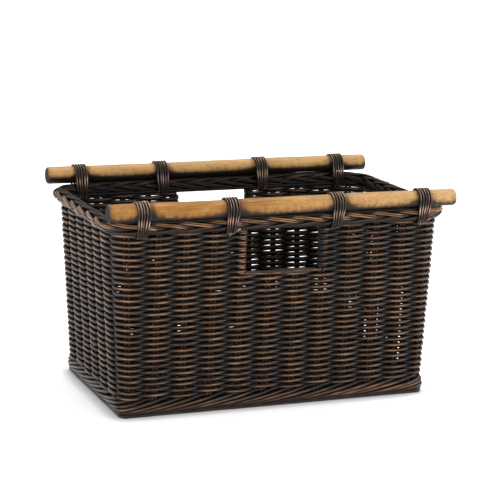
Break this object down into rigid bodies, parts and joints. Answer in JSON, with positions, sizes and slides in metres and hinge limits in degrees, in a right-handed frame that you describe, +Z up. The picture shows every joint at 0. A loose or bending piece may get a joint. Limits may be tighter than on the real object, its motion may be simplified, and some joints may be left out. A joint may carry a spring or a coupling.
{
  "type": "wicker log basket",
  "caption": "Open rectangular wicker basket with flared walls, a plaited rim, a hand hole in each long wall and a wooden pole lashed along each long rim.",
  "frame": {"origin": "centre of the basket on the plane it stands on", "axes": "+X along the poles to the right, +Y from the front wall to the back wall, +Z up"},
  "size_m": [0.5426, 0.3658, 0.3254],
  "materials": {
    "wall_cane": "satin dark stained round cane, rubbed to brown on the high spots",
    "stake_rod": "satin dark stained round rod",
    "rim_cane": "satin dark stained cane, rubbed to orange-brown on the high spots",
    "foot_cane": "satin dark stained cane",
    "floor_cane": "satin dark stained cane",
    "pole_wood": "satin honey wood with dark antique stain near the lashings",
    "binding_cane": "satin brown thin round cane"
  },
  "bodies": {
    "root": {"base_frame_rod": "floor_cane", "base_rods": "floor_cane", "base_weave": "floor_cane", "foot_wale_front": "foot_cane", "foot_wale_back": "foot_cane", "foot_wale_left": "foot_cane", "foot_wale_right": "foot_cane", "foot_wale_corner_front_left": "foot_cane", "foot_wale_corner_front_right": "foot_cane", "foot_wale_corner_back_left": "foot_cane", "foot_wale_corner_back_right": "foot_cane", "stakes_front": "stake_rod", "stakes_back": "stake_rod", "stakes_left": "stake_rod", "stakes_right": "stake_rod", "stakes_corner": "stake_rod", "weave_front_below_hole": "wall_cane", "weave_front_left_of_hole": "wall_cane", "weave_front_right_of_hole": "wall_cane", "weave_back_below_hole": "wall_cane", "weave_back_left_of_hole": "wall_cane", "weave_back_right_of_hole": "wall_cane", "weave_left": "wall_cane", "weave_right": "wall_cane", "weave_corner_front_left": "wall_cane", "weave_corner_front_right": "wall_cane", "weave_corner_back_left": "wall_cane", "weave_corner_back_right": "wall_cane", "border_front": "rim_cane", "border_back": "rim_cane", "border_left": "rim_cane", "border_right": "rim_cane", "border_corner_front_left": "rim_cane", "border_corner_front_right": "rim_cane", "border_corner_back_left": "rim_cane", "border_corner_back_right": "rim_cane", "pole_front": "pole_wood", "pole_back": "pole_wood", "lashing_front_1": "binding_cane", "lashing_front_2": "binding_cane", "lashing_front_3": "binding_cane", "lashing_front_4": "binding_cane", "lashing_back_1": "binding_cane", "lashing_back_2": "binding_cane", "lashing_back_3": "binding_cane", "lashing_back_4": "binding_cane"}
  },
  "joints": []
}
